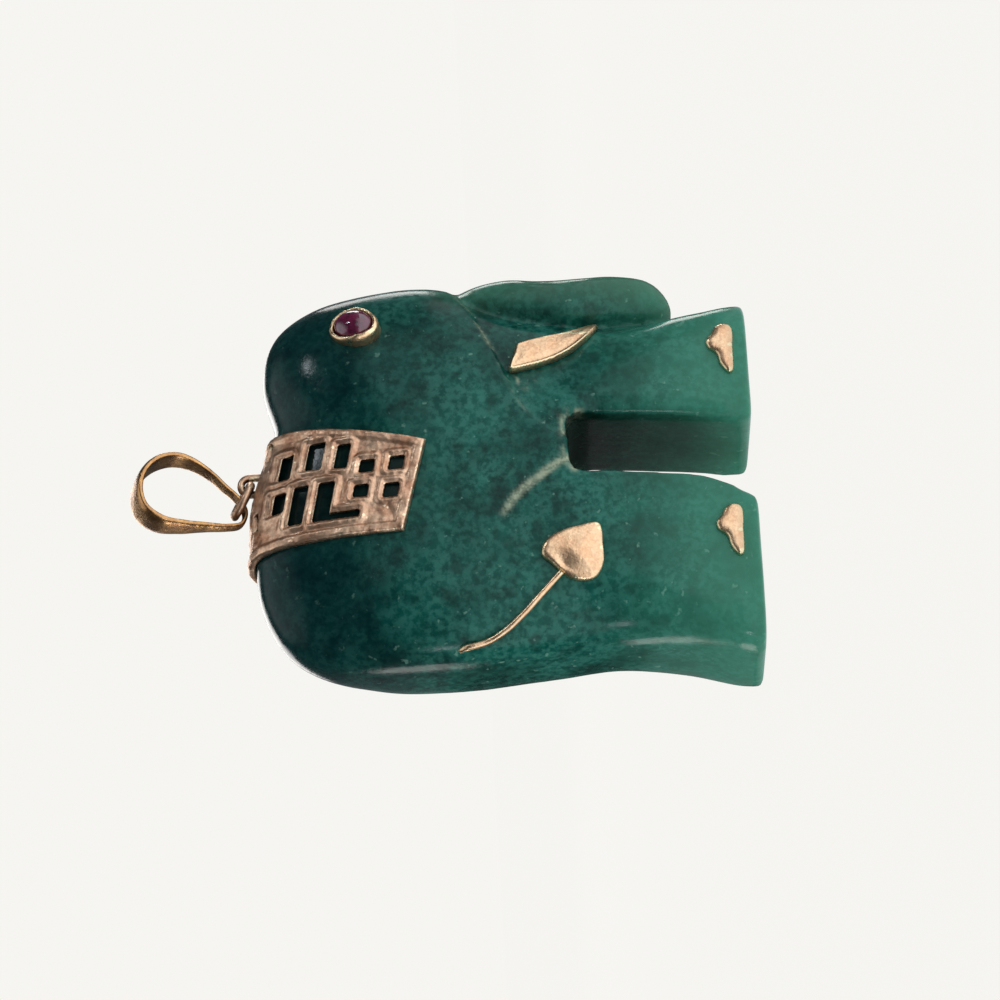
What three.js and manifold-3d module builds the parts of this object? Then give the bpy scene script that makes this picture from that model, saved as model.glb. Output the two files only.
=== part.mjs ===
// Carved jade elephant pendant with gold mounts: saddle blanket, bail on a loose ring, eyes, tusks,
// tail and toenails. Millimetres, +Z up, the elephant stands on z = 0 and faces +X, flanks at -Y and +Y.
import * as THREE from "three";
import { mergeVertices } from "three/addons/utils/BufferGeometryUtils.js";
import Module from "manifold-3d";

const wasm = await Module();
wasm.setup();
const { Manifold, Mesh } = wasm;

// ---------------------------------------------------------------- driving dimensions
const GLUE = 0.04; // layer of cement between a gold piece and the jade
const BODY_HALF = 6.0; // half thickness of the carving at the middle of the flank
const BODY_POWER = [4.4, 2.6]; // how square the rounding toward the outline is, at the soles and above
const HEART = [-1.2, 17.5]; // middle of the carving in the side view, where the flank is thickest
const FORELEG_SINK = 0.55; // how far the fore leg lies under the cheek
const SLOT = { rear: -1.35, front: 3.1, top: 12.3 }; // cut that parts the legs
const TRUNK_HALF = 4.1;
const SADDLE = { thick: 0.5, border: 0.7 };
const STAPLE = { x: 1.1, z: 34.55, radius: 0.62, wire: 0.26, leg: 3.2 };
const RING = { radius: 1.2, wire: 0.3, pitch: 27, roll: 15 }; // lies inclined, near side low
const BAIL = { thick: [0.3, 0.48], wide: [1.0, 2.8], lean: 15 }; // at the hook and at the top
const EYE = { x: 10.45, z: 26.75, turn: 27, outer: 1.6, wall: 0.28, stone: 1.27, oval: [0.9, 1.12] };

// ---------------------------------------------------------------- helpers
const rad = THREE.MathUtils.degToRad;
const lerp = THREE.MathUtils.lerp;

function solid(geometry) {
  const bare = geometry.clone();
  for (const name of ["normal", "uv"]) bare.deleteAttribute(name);
  const g = mergeVertices(bare, 1e-4);
  return new Manifold(
    new Mesh({
      numProp: 3,
      vertProperties: new Float32Array(g.attributes.position.array),
      triVerts: new Uint32Array(g.index.array),
    }),
  );
}

function geometry(manifold) {
  const m = manifold.getMesh();
  const at = new Float32Array(m.numVert * 3);
  for (let i = 0; i < m.numVert; i++)
    at.set(m.vertProperties.subarray(i * m.numProp, i * m.numProp + 3), i * 3);
  const g = new THREE.BufferGeometry();
  g.setAttribute("position", new THREE.BufferAttribute(at, 3));
  g.setIndex(new THREE.BufferAttribute(m.triVerts, 1));
  g.computeVertexNormals();
  return g;
}

const join = (...pieces) => pieces.reduce((a, b) => a.add(b));

// A closed smooth curve in the side view through [x, z] pairs.
const loop = (pairs) =>
  new THREE.CatmullRomCurve3(pairs.map(([x, z]) => new THREE.Vector3(x, 0, z)), true);

// A cushion: full thickness at its heart, rounded over to nothing at its outline.
function cushion(pairs, heart, half, power, around, across) {
  const outline = loop(pairs);
  const rim = Array.from({ length: around }, (_, i) => outline.getPointAt(i / around));
  const g = new THREE.SphereGeometry(1, around, across);
  const at = g.attributes.position;
  const row = around + 1;
  for (let i = 0; i < at.count; i++) {
    const lat = (Math.floor(i / row) / across) * Math.PI;
    const edge = rim[(i % row) % around];
    const square = lerp(...power, THREE.MathUtils.smoothstep(edge.z, -2, 12));
    const out = Math.pow(Math.abs(Math.sin(lat)), 2 / square);
    const thick = Math.sign(Math.cos(lat)) * Math.pow(Math.abs(Math.cos(lat)), 2 / square);
    const reach = lat < 1e-6 || lat > Math.PI - 1e-6 ? 0 : out;
    at.setXYZ(i, lerp(heart[0], edge.x, reach), thick * half, lerp(heart[1], edge.z, reach));
  }
  return outward(g);
}

// Turns a closed geometry right side out.
function outward(g) {
  const s = solid(g);
  if (s.volume() > 0) return g;
  const index = g.index.array;
  for (let i = 0; i < index.length; i += 3) [index[i], index[i + 1]] = [index[i + 1], index[i]];
  return g;
}

// The same closed surface moved out along its normals.
function grown(g, distance) {
  const bare = g.clone();
  for (const name of ["normal", "uv"]) bare.deleteAttribute(name);
  const m = mergeVertices(bare, 1e-4);
  m.computeVertexNormals();
  const at = m.attributes.position;
  const n = m.attributes.normal;
  for (let i = 0; i < at.count; i++)
    at.setXYZ(
      i,
      at.getX(i) + n.getX(i) * distance,
      at.getY(i) + n.getY(i) * distance,
      at.getZ(i) + n.getZ(i) * distance,
    );
  return m;
}

// A flat outline of [x, z] pairs carried from y = from to y = to, with an optional soft front edge.
function slab(pairs, from, to, soft = 0, steps = 2) {
  const shape = new THREE.Shape(pairs.map(([x, z]) => new THREE.Vector2(x, z)));
  return slabOf(shape, from, to, soft, steps);
}

function slabOf(shape, from, to, soft = 0, steps = 2, curve = 6) {
  const g = new THREE.ExtrudeGeometry(shape, {
    depth: to - from - 2 * soft,
    bevelEnabled: soft > 0,
    bevelThickness: soft,
    bevelSize: soft,
    bevelOffset: -soft,
    bevelSegments: steps,
    curveSegments: curve,
  });
  g.rotateX(Math.PI / 2); // the outline stands up in x-z, the thickness runs along -y
  g.translate(0, to - soft, 0);
  return g;
}

function rod(radius, from, to, sides = 16) {
  const a = new THREE.Vector3(...from);
  const b = new THREE.Vector3(...to);
  const g = new THREE.CylinderGeometry(radius, radius, a.distanceTo(b), sides);
  const along = b.clone().sub(a).normalize();
  g.applyQuaternion(new THREE.Quaternion().setFromUnitVectors(new THREE.Vector3(0, 1, 0), along));
  const mid = a.add(b).multiplyScalar(0.5);
  g.translate(mid.x, mid.y, mid.z);
  return g;
}

// Radii and heights turned about z, closed.
const turned = (pairs, sides) =>
  outward(
    new THREE.LatheGeometry(pairs.map(([r, h]) => new THREE.Vector2(r, h)), sides).rotateX(Math.PI / 2),
  );

const flipped = (g) => {
  const m = g.clone().scale(1, -1, 1);
  const index = m.index.array;
  for (let i = 0; i < index.length; i += 3) [index[i], index[i + 1]] = [index[i + 1], index[i]];
  return m;
};

// ---------------------------------------------------------------- the carving
// Side outline without the trunk. The legs run on below z = 0 and are cut flat at the soles.
const OUTLINE = [
  [-14.5, -5], [-14.4, -1.5], [-14.1, 1], [-13.2, 5], [-12.9, 9.5], [-13.4, 14.5], [-13.85, 19],
  [-13.95, 22.5], [-13.8, 26.5], [-13.05, 29.95], [-11.3, 32.5], [-8.2, 34.0], [-4.7, 34.35],
  [-0.8, 34.1], [2.2, 33.2], [4.6, 32.65], [8.3, 33.4], [11.5, 32.55], [13.4, 30.2], [14.5, 26.6],
  [14.9, 22.8], [14.6, 20.5], [12.9, 16.4], [11.6, 11.5], [11.1, 7], [11.5, 3.2], [11.95, 0], [12.1, -5],
  [4.5, -8.5], [-6, -8.5],
];
// The trunk hangs in front of the fore leg.
const TRUNK = [
  [13.1, 22.2], [14.0, 20.5], [14.75, 18.8], [15.1, 16.8], [14.95, 14.6], [14.55, 12.7], [14.6, 10],
  [14.6, 7.8], [14.1, 6.0], [12.8, 4.95], [11.4, 5.3], [10.8, 7.3], [10.5, 10.5], [10.7, 14],
  [11.2, 17.5], [12, 20.5],
];
// Under this line the cheek steps down to the fore leg.
const CHEEK = [
  [18, 22.5], [14.6, 20.5], [12, 19.05], [9.9, 18.1], [6.6, 16.8], [4.5, 16.1], [2.9, 15.1], [1.6, 13.6],
  [1.0, 11], [1.0, -3], [18, -3],
];

const torso = cushion(OUTLINE, HEART, BODY_HALF, BODY_POWER, 66, 18);
const foreleg = cushion(OUTLINE, HEART, BODY_HALF - FORELEG_SINK, BODY_POWER, 66, 18);
const torsoSolid = solid(torso);
const forelegSolid = solid(foreleg);

function carving() {
  const sunk = solid(slab(CHEEK, -8, 8)).subtract(forelegSolid);
  const trunk = solid(cushion(TRUNK, [12.8, 13.2], TRUNK_HALF, [2.3, 2.3], 36, 14));
  const slot = slab(
    [
      [SLOT.rear - 2.9, -2], [SLOT.rear - 2.2, 0], [SLOT.rear - 1.3, 1.9], [SLOT.rear - 0.6, 3.8],
      [SLOT.rear - 0.3, 6.5], [SLOT.rear, 10], [SLOT.rear + 0.1, SLOT.top], [1, SLOT.top + 0.35],
      [SLOT.front, SLOT.top + 0.2], [SLOT.front - 0.1, 9.5], [SLOT.front - 0.4, 5], [SLOT.front - 0.95, 0.5],
      [SLOT.front - 1.0, -2],
    ],
    -9,
    9,
  );
  const ground = new THREE.BoxGeometry(60, 30, 20).translate(0, 0, -10);
  return torsoSolid.subtract(sunk).add(trunk).subtract(solid(slot)).subtract(solid(ground));
}

// A layer that lies on the carving, cut to an outline and kept on one flank (-1 right, 1 left, 0 both).
function layer(base, pairs, thick, side) {
  const over = solid(grown(base, GLUE + thick)).subtract(solid(grown(base, GLUE)));
  const from = side > 0 ? 1 : -12;
  const to = side < 0 ? -1 : 12;
  return over.intersect(solid(slab(pairs, from, to)));
}

// Smooth outlines of the small gold pieces come from a few corner points.
const smooth = (pairs, count) =>
  loop(pairs)
    .getSpacedPoints(count)
    .slice(0, count)
    .map((p) => [p.x, p.z]);

// ---------------------------------------------------------------- saddle blanket
const BLANKET = [[-5.2, 24.1], [1.4, 22.3], [2.35, 26.6], [3.45, 32], [3.8, 37], [-5.3, 37]];
const slope = (x) => -0.22 * (x + 1.9); // the bars fall toward the head
const pane = (x0, x1, z0, z1) => [
  [x0, z0 + slope(x0)], [x1, z0 + slope(x1)], [x1, z1 + slope(x1)], [x0, z1 + slope(x0)],
];
const PANES = [
  pane(-2.7, -1.3, 32.1, 32.9),
  pane(-0.3, 1.5, 32.1, 32.9),
  pane(-3.8, -1.1, 30.6, 31.6),
  pane(0.0, 2.0, 30.0, 31.1),
  [...pane(-3.9, -1.1, 28.8, 29.9).slice(1), [-3.9, 26.7 + slope(-3.9)], [-3.4, 26.7 + slope(-3.4)],
    [-3.4, 28.8 + slope(-3.4)]],
  pane(-0.2, 1.6, 28.2, 29.1),
  pane(-2.5, -1.6, 26.4, 27.4),
  pane(-0.7, 0.2, 26.3, 27.3),
  pane(-2.7, -1.7, 24.3, 25.3),
  pane(-0.7, 0.3, 24.3, 25.3),
];

function saddle() {
  let plate = layer(torso, BLANKET, SADDLE.thick, 0);
  for (const window of PANES) plate = plate.subtract(solid(slab(window, -9, 9)));
  for (const y of [-2.2, 2.2])
    for (const x of [-2.6, 2.55])
      plate = plate.subtract(solid(new THREE.BoxGeometry(1.3, 0.6, 4).translate(x, y, 34)));
  return plate.subtract(stapleLegs(STAPLE.wire + GLUE));
}

// ---------------------------------------------------------------- staple, ring and bail
const legX = [STAPLE.x - STAPLE.radius, STAPLE.x + STAPLE.radius];
const stapleLegs = (radius) =>
  join(...legX.map((x) => solid(rod(radius, [x, 0, STAPLE.z - STAPLE.leg], [x, 0, STAPLE.z + 0.02], 12))));

function staple() {
  const arch = Array.from({ length: 9 }, (_, i) => {
    const a = Math.PI * (1 - i / 8);
    return [STAPLE.x + STAPLE.radius * Math.cos(a), STAPLE.z + STAPLE.radius * Math.sin(a)];
  });
  const drops = [STAPLE.leg, 0.75 * STAPLE.leg, 0.5 * STAPLE.leg, 0.25 * STAPLE.leg];
  const bent = [
    ...drops.map((d) => [legX[0], STAPLE.z - d]), ...arch, ...drops.reverse().map((d) => [legX[1], STAPLE.z - d]),
  ];
  const path = new THREE.CatmullRomCurve3(bent.map(([x, z]) => new THREE.Vector3(x, 0, z)));
  return tube(path, STAPLE.wire, 48, 6);
}

// A round wire along an open curve.
function tube(path, radius, steps, sides) {
  const round = new THREE.Shape().absarc(0, 0, radius, 0, 2 * Math.PI);
  return solid(
    outward(
      new THREE.ExtrudeGeometry(round, {
        steps, curveSegments: sides, bevelEnabled: false, extrudePath: path,
      }),
    ),
  );
}

// The ring turns about the staple: +Y axis through its front end.
const ringPose = new THREE.Matrix4()
  .makeTranslation(STAPLE.x, 0, STAPLE.z)
  .multiply(new THREE.Matrix4().makeRotationY(rad(RING.pitch)))
  .multiply(new THREE.Matrix4().makeRotationX(rad(RING.roll)));
const ring = () =>
  new THREE.TorusGeometry(RING.radius, RING.wire, 10, 30)
    .translate(-RING.radius, 0, 0)
    .applyMatrix4(ringPose);
const bailPin = new THREE.Vector3(-2 * RING.radius, 0, 0).applyMatrix4(ringPose);

// Teardrop strap round the rear end of the ring, wide at the top and narrow at the hook.
function bail() {
  const centre = loop([
    [0.05, -0.7], [-0.68, -0.36], [-0.92, 0.6], [-0.97, 1.95], [-1.05, 3.8], [-0.9, 5.4], [-0.12, 6.55],
    [1.2, 6.9], [2.65, 6.5], [3.65, 5.4], [3.98, 4.1], [3.72, 2.95], [2.95, 1.65], [2.05, 0.68],
    [1.4, -0.06], [0.78, -0.53],
  ]);
  const count = 48;
  const at = [];
  const index = [];
  for (let i = 0; i < count; i++) {
    const p = centre.getPointAt(i / count);
    const t = centre.getTangentAt(i / count);
    const normal = new THREE.Vector3(-t.z, 0, t.x);
    const up = THREE.MathUtils.smoothstep(p.z, 0, 6.8);
    const wide = lerp(...BAIL.wide, up) / 2;
    const thick = lerp(...BAIL.thick, up);
    const profile = [[-wide, -0.5], [-wide, 0.1], [-0.55 * wide, 0.5], [0.55 * wide, 0.5], [wide, 0.1], [wide, -0.5]];
    for (const [y, h] of profile)
      at.push(p.x + normal.x * h * thick, y, p.z + normal.z * h * thick);
    const n = profile.length;
    for (let k = 0; k < n; k++) {
      const a = i * n + k;
      const b = i * n + ((k + 1) % n);
      const c = ((i + 1) % count) * n + k;
      const d = ((i + 1) % count) * n + ((k + 1) % n);
      index.push(a, b, c, b, d, c);
    }
  }
  const g = new THREE.BufferGeometry();
  g.setAttribute("position", new THREE.Float32BufferAttribute(at, 3));
  g.setIndex(index);
  return outward(g.rotateX(rad(BAIL.lean)).translate(bailPin.x, bailPin.y, bailPin.z));
}

// ---------------------------------------------------------------- eyes
// Distance of the flank from the middle plane at a point of the side view.
function flankAt(base, x, z) {
  const caster = new THREE.Raycaster(new THREE.Vector3(x, -30, z), new THREE.Vector3(0, 1, 0));
  const hit = caster.intersectObject(
    new THREE.Mesh(base, new THREE.MeshBasicMaterial({ side: THREE.DoubleSide })));
  return Math.abs(hit[0].point.y);
}

const eyeSeat = new THREE.Vector3(EYE.x, -flankAt(torso, EYE.x, EYE.z), EYE.z);
// The eye looks out of the flank, turned toward the forehead.
const eyePose = (height) =>
  new THREE.Matrix4()
    .makeTranslation(eyeSeat.x, eyeSeat.y, eyeSeat.z)
    .multiply(new THREE.Matrix4().makeRotationFromQuaternion(
      new THREE.Quaternion().setFromUnitVectors(
        new THREE.Vector3(0, 0, 1),
        new THREE.Vector3(Math.sin(rad(EYE.turn)) * 0.72, -Math.cos(rad(EYE.turn)), Math.sin(rad(EYE.turn)) * 0.69)
          .normalize())))
    .multiply(new THREE.Matrix4().makeTranslation(0, 0, height))
    .multiply(new THREE.Matrix4().makeScale(...EYE.oval, 1));

const bezel = () =>
  turned(
    [
      [0, -3.2], [0.4, -3.2], [0.4, -0.75], [EYE.outer - 0.1, -0.75], [EYE.outer, 0.35],
      [EYE.outer - 0.08, 0.5], [EYE.outer - EYE.wall, 0.5], [EYE.outer - EYE.wall, -0.45], [0, -0.45],
    ],
    28,
  ).applyMatrix4(eyePose(0.25));
const eyePocket = () =>
  turned(
    [
      [0, -3.3], [0.4 + GLUE, -3.3], [0.4 + GLUE, -0.8], [EYE.outer + GLUE, -0.8], [EYE.outer + 0.08, 3],
      [0, 3],
    ],
    28,
  ).applyMatrix4(eyePose(0.25));
const stone = () =>
  turned(
    [
      [0, -0.4], [EYE.stone, -0.4], [EYE.stone, 0.45], [EYE.stone * 0.86, 0.78], [EYE.stone * 0.6, 1.0],
      [EYE.stone * 0.3, 1.1], [0, 1.13],
    ],
    24,
  ).applyMatrix4(eyePose(0.25));

// ---------------------------------------------------------------- tusks, tail and toenails
const TUSK = smooth(
  [
    [6.6, 16.45], [7.7, 16.15], [8.75, 15.85], [9.15, 15.0], [9.5, 13.9], [9.85, 12.7], [10.3, 11.5],
    [10.8, 10.45], [10.6, 10.05], [9.2, 10.85], [7.95, 12.2], [7.15, 13.7], [6.6, 15.4],
  ],
  34,
);
const TASSEL = smooth(
  [
    [-9.0, 13.35], [-9.35, 12.4], [-9.2, 11.4], [-8.3, 10.8], [-6.9, 10.75], [-5.4, 10.95], [-5.5, 12.4],
    [-6.0, 14.0], [-6.7, 14.8], [-7.45, 14.95], [-8.1, 14.3],
  ],
  30,
);
const TOENAIL = smooth(
  [
    [-1.7, -0.75], [-1.85, -0.5], [-1.2, 0.05], [-0.35, 0.3], [0.1, 0.85], [0.65, 0.95], [1.15, 0.55],
    [1.65, 0.3], [1.9, -0.2], [1.7, -0.8], [0, -0.85],
  ],
  26,
);
const placed = (pairs, x, z) => pairs.map(([u, v]) => [u + x, v + z]);
const NAIL_FORE = placed(TOENAIL, 7.45, 1.9);
const NAIL_HIND = placed(TOENAIL, -6.3, 2.05);

// A peg behind a gold piece, from the flank into the jade, right flank.
const peg = (base, x, z, radius, deep, out = 0.15) => {
  const y = flankAt(base, x, z);
  return solid(rod(radius, [x, -y - out, z], [x, -y + deep, z], 10));
};
const PEGS = [
  [foreleg, 8.0, 14.8, 0.42],
  [torso, -7.4, 12.8, 0.42],
  [foreleg, 7.9, 2.1, 0.3],
  [torso, -6.0, 2.15, 0.3],
];
const PEG_DEPTH = 2.2;

const tusk = () => layer(foreleg, TUSK, 0.85, -1).add(peg(...PEGS[0], PEG_DEPTH));
const tassel = () => layer(torso, TASSEL, 0.6, -1).add(peg(...PEGS[1], PEG_DEPTH));
const nailFore = () => layer(foreleg, NAIL_FORE, 0.45, -1).add(peg(...PEGS[2], PEG_DEPTH));
const nailHind = () => layer(torso, NAIL_HIND, 0.45, -1).add(peg(...PEGS[3], PEG_DEPTH));

const TAIL = [[-13.2, 20.3], [-12.95, 18.9], [-12.35, 17.6], [-11.4, 16.35], [-10.3, 15.2], [-9.2, 14.1]];
const TAIL_WIRE = 0.24;

// The wire leaves a drilled hole at the rump and lies down on the flank.
function tail(radius) {
  const over = TAIL.map(([x, z]) => new THREE.Vector3(x, -flankAt(torso, x, z) - TAIL_WIRE - 0.09, z));
  const into = over[0].clone().add(new THREE.Vector3(0.3, 1.9, 0.25));
  const bend = over[0].clone().add(new THREE.Vector3(0, 0.3, 0.2));
  return tube(new THREE.CatmullRomCurve3([into, bend, ...over]), radius, 24, 6);
}

function holes() {
  const right = [
    solid(eyePocket()),
    ...PEGS.map(([base, x, z, radius]) => peg(base, x, z, radius + GLUE, PEG_DEPTH + 0.1, 1.5)),
    tail(TAIL_WIRE + GLUE),
  ];
  const left = [solid(flipped(eyePocket())), ...PEGS.filter((_, i) => i !== 1).map(([base, x, z, radius]) =>
    solid(flipped(geometry(peg(base, x, z, radius + GLUE, PEG_DEPTH + 0.1, 1.5)))))];
  return join(...right, ...left, stapleLegs(STAPLE.wire + GLUE));
}

// ---------------------------------------------------------------- the assembly
const finish = {
  jade: new THREE.MeshStandardMaterial({ color: "#1d5a47", roughness: 0.12, metalness: 0 }),
  gold: new THREE.MeshStandardMaterial({ color: "#c99663", roughness: 0.28, metalness: 1 }),
  oldGold: new THREE.MeshStandardMaterial({ color: "#96705a", roughness: 0.42, metalness: 1 }),
  ruby: new THREE.MeshStandardMaterial({ color: "#5a1838", roughness: 0.1, metalness: 0 }),
};

const pendant = new THREE.Group();
pendant.name = "elephant_pendant";
function add(name, piece, material) {
  const mesh = new THREE.Mesh(piece.isBufferGeometry ? piece : geometry(piece), finish[material]);
  mesh.name = name;
  pendant.add(mesh);
}
function addPair(name, piece, material) {
  const g = piece.isBufferGeometry ? piece : geometry(piece);
  add(`${name}_right`, g, material);
  add(`${name}_left`, flipped(g), material);
}

add("jade_body", carving().subtract(holes()), "jade");
add("saddle", saddle(), "oldGold");
add("saddle_staple", staple(), "oldGold");
add("jump_ring", ring(), "oldGold");
add("bail", bail(), "gold");
addPair("eye_bezel", bezel(), "gold");
addPair("eye_stone", stone(), "ruby");
addPair("tusk", tusk(), "gold");
addPair("toenail_fore", nailFore(), "gold");
addPair("toenail_hind", nailHind(), "gold");
add("tail_wire", tail(TAIL_WIRE), "gold");
add("tail_tassel", tassel(), "gold");

export default pendant;
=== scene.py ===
# %% [markdown]
# # Jade elephant pendant
# A small carved jade elephant hangs from a gold bail. A pierced gold blanket lies over its back, and the eyes,
# tusk, tail and toenails are small gold pieces pegged into the stone. The frame gives the exact solids and their
# joints. This lesson rebuilds every visible piece around that frame with its real surface: polished stone, soft
# cast gold and a red cabochon. Lengths are thought of in millimetres, because the whole piece is only 43 mm tall,
# and each mesh is scaled to metres at the moment it becomes a Blender object.

# %% Load the frame
import math

import bmesh
import bpy
import numpy as np
from mathutils import Matrix, Vector, noise
from mathutils.geometry import delaunay_2d_cdt


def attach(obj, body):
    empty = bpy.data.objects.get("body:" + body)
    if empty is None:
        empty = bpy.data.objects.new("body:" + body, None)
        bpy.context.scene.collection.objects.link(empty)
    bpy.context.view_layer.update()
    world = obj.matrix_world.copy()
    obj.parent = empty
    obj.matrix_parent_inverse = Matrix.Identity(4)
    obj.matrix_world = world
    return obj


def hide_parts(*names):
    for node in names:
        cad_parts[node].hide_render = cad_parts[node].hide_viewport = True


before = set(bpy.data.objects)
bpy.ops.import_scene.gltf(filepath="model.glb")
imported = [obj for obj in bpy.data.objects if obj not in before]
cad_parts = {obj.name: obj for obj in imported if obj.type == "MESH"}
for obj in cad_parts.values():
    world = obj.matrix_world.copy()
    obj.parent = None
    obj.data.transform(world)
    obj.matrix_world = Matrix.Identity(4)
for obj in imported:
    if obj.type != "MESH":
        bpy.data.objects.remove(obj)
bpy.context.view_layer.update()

MM = 0.001
GLUE = 0.04

# %% [markdown]
# ## Camera, floor and light
# The pendant is seen from its right flank, a little from behind, almost level, through a long lens, with the
# camera rolled on its side. A look-at matrix written by hand gives the roll directly, which a Track To
# constraint could not.

# %% Camera
VIEW = {"azimuth": 23.0, "elevation": 1.0, "distance": 0.450, "roll": 2.7, "lens": 235.6}
az, el, roll = (math.radians(VIEW[k]) for k in ("azimuth", "elevation", "roll"))
target = Vector((0, 0, 0.0178))
back = Vector((-math.sin(az) * math.cos(el), -math.cos(az) * math.cos(el), math.sin(el)))
down = -(Vector((0, 0, 1)) - back * back.z).normalized()
forward = down.cross(back)
if forward.x < 0:
    forward = -forward
right = down * math.cos(roll) - forward * math.sin(roll)
up = down * math.sin(roll) + forward * math.cos(roll)
aim = target + right * 0.000412 - up * 0.000687

camera = bpy.data.objects.new("camera", bpy.data.cameras.new("camera"))
bpy.context.scene.collection.objects.link(camera)
camera.matrix_world = Matrix.Translation(aim + back * VIEW["distance"]) @ Matrix(
    (right, up, back)).transposed().to_4x4()
camera.data.lens = VIEW["lens"]
camera.data.sensor_width = 36
camera.data.clip_start = 0.01
bpy.context.scene.camera = camera
print("camera at", tuple(round(c, 4) for c in camera.location))

# %% [markdown]
# A node tree is easier to read as a list of nodes and wires. This helper adds a node, sets plain values on its
# sockets, and wires other nodes' outputs into it.

# %% Node helper
def node(tree, kind, inputs=None, **settings):
    made = tree.nodes.new(kind)
    for name, value in settings.items():
        setattr(made, name, value)
    for key, value in (inputs or {}).items():
        if isinstance(value, bpy.types.NodeSocket):
            tree.links.new(value, made.inputs[key])
        else:
            made.inputs[key].default_value = value
    return made


def maths(tree, operation, *values, clamp=False):
    return node(tree, "ShaderNodeMath", dict(enumerate(values)), operation=operation, use_clamp=clamp).outputs[0]


def ramp(tree, value, low, high, to_low=0.0, to_high=1.0):
    return node(tree, "ShaderNodeMapRange", {0: value, 1: low, 2: high, 3: to_low, 4: to_high},
                interpolation_type="SMOOTHSTEP").outputs[0]


def blended(tree, factor, a, b, mode="MIX"):
    made = node(tree, "ShaderNodeMix", {"Factor": factor}, data_type="RGBA", blend_type=mode)
    for socket, value in ((made.inputs[6], a), (made.inputs[7], b)):
        if isinstance(value, bpy.types.NodeSocket):
            tree.links.new(value, socket)
        else:
            socket.default_value = (*value, 1)[:4]
    return made.outputs[2]


def linear(r, g, b):
    """An 8-bit display colour as scene-linear values."""
    return tuple(c / 12.92 if c <= 0.04045 else ((c + 0.055) / 1.055) ** 2.4 for c in (r / 255, g / 255, b / 255))


# %% [markdown]
# Polished stone and gold show what surrounds them, so the surroundings are part of the look. The world is a dim
# studio with two bright places: a soft panel toward the viewer, which the flat gold faces mirror, and a glow
# straight overhead, which lies as a grey sheen on the rump. The floor is a pale sheet. Mirror rays see it bright on
# the viewer's side only, so the slot and the far side stay dark.

# %% World and floor
PALE = linear(246, 245, 241)
scene = bpy.context.scene
scene.view_settings.view_transform = "Standard"
world = bpy.data.worlds.new("studio")
scene.world = world
world.use_nodes = True
tree = world.node_tree
tree.nodes.clear()
direction = node(tree, "ShaderNodeSeparateXYZ", {0: node(tree, "ShaderNodeTexCoord").outputs["Generated"]})
height = ramp(tree, direction.outputs[2], -0.02, 0.40, 0.22, 0.05)
viewer = Vector((0.42, -0.90, -0.02)).normalized()
toward = node(tree, "ShaderNodeVectorMath", {0: node(tree, "ShaderNodeTexCoord").outputs["Generated"], 1: viewer},
              operation="DOT_PRODUCT").outputs["Value"]
panel = maths(tree, "MULTIPLY", ramp(tree, toward, 0.80, 0.97), ramp(tree, direction.outputs[2], 0.30, 0.0))
light = maths(tree, "MULTIPLY_ADD", panel, 1.5, height)
light = maths(tree, "MULTIPLY_ADD", ramp(tree, direction.outputs[2], 0.72, 0.95), 0.9, light)
studio = blended(tree, light, (0, 0, 0), (0.95, 0.97, 1.0))
seen = node(tree, "ShaderNodeLightPath").outputs["Is Camera Ray"]
background = node(tree, "ShaderNodeBackground", {"Color": blended(tree, seen, studio, PALE)})
tree.links.new(background.outputs[0], node(tree, "ShaderNodeOutputWorld").inputs[0])

floor_mesh = bpy.data.meshes.new("floor")
bm = bmesh.new()
bmesh.ops.create_grid(bm, x_segments=4, y_segments=4, size=1.2)
bm.to_mesh(floor_mesh)
bm.free()
floor = bpy.data.objects.new("floor", floor_mesh)
scene.collection.objects.link(floor)
paper = bpy.data.materials.new("pale_paper")
paper.use_nodes = True
tree = paper.node_tree
tree.nodes.clear()
sheet = node(tree, "ShaderNodeBsdfDiffuse", {"Color": (*PALE, 1)})
glow = node(tree, "ShaderNodeEmission", {"Color": (*PALE, 1), "Strength": 1.008})
path = node(tree, "ShaderNodeLightPath").outputs
share = maths(tree, "MULTIPLY_ADD", path["Is Camera Ray"], 0.33, 0.65)
dark = node(tree, "ShaderNodeBsdfDiffuse", {"Color": (*linear(96, 96, 94), 1)})
lit = node(tree, "ShaderNodeMixShader", {0: share, 1: sheet.outputs[0], 2: glow.outputs[0]})
where = node(tree, "ShaderNodeSeparateXYZ", {0: node(tree, "ShaderNodeNewGeometry").outputs["Position"]}).outputs
sunlit = node(tree, "ShaderNodeEmission", {"Color": (0.95, 0.97, 1.0, 1), "Strength": 1.35})
near_side = ramp(tree, where[1], 0.015, -0.02)
mirrored = node(tree, "ShaderNodeMixShader", {0: near_side, 1: dark.outputs[0], 2: sunlit.outputs[0]})
mixed = node(tree, "ShaderNodeMixShader", {0: path["Is Glossy Ray"], 1: lit.outputs[0], 2: mirrored.outputs[0]})
tree.links.new(mixed.outputs[0], node(tree, "ShaderNodeOutputMaterial").inputs[0])
floor_mesh.materials.append(paper)


# %% Lamps
def lamp(name, place, size, power, colour=(1, 1, 1), aim_at=(0, 0, 0.018)):
    data = bpy.data.lights.new(name, "AREA")
    data.shape, data.size, data.size_y = "RECTANGLE", *size
    data.energy, data.color = power, colour
    made = bpy.data.objects.new(name, data)
    scene.collection.objects.link(made)
    made.location = place
    made.rotation_euler = (Vector(aim_at) - Vector(place)).to_track_quat("-Z", "Y").to_euler()
    return made


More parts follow.
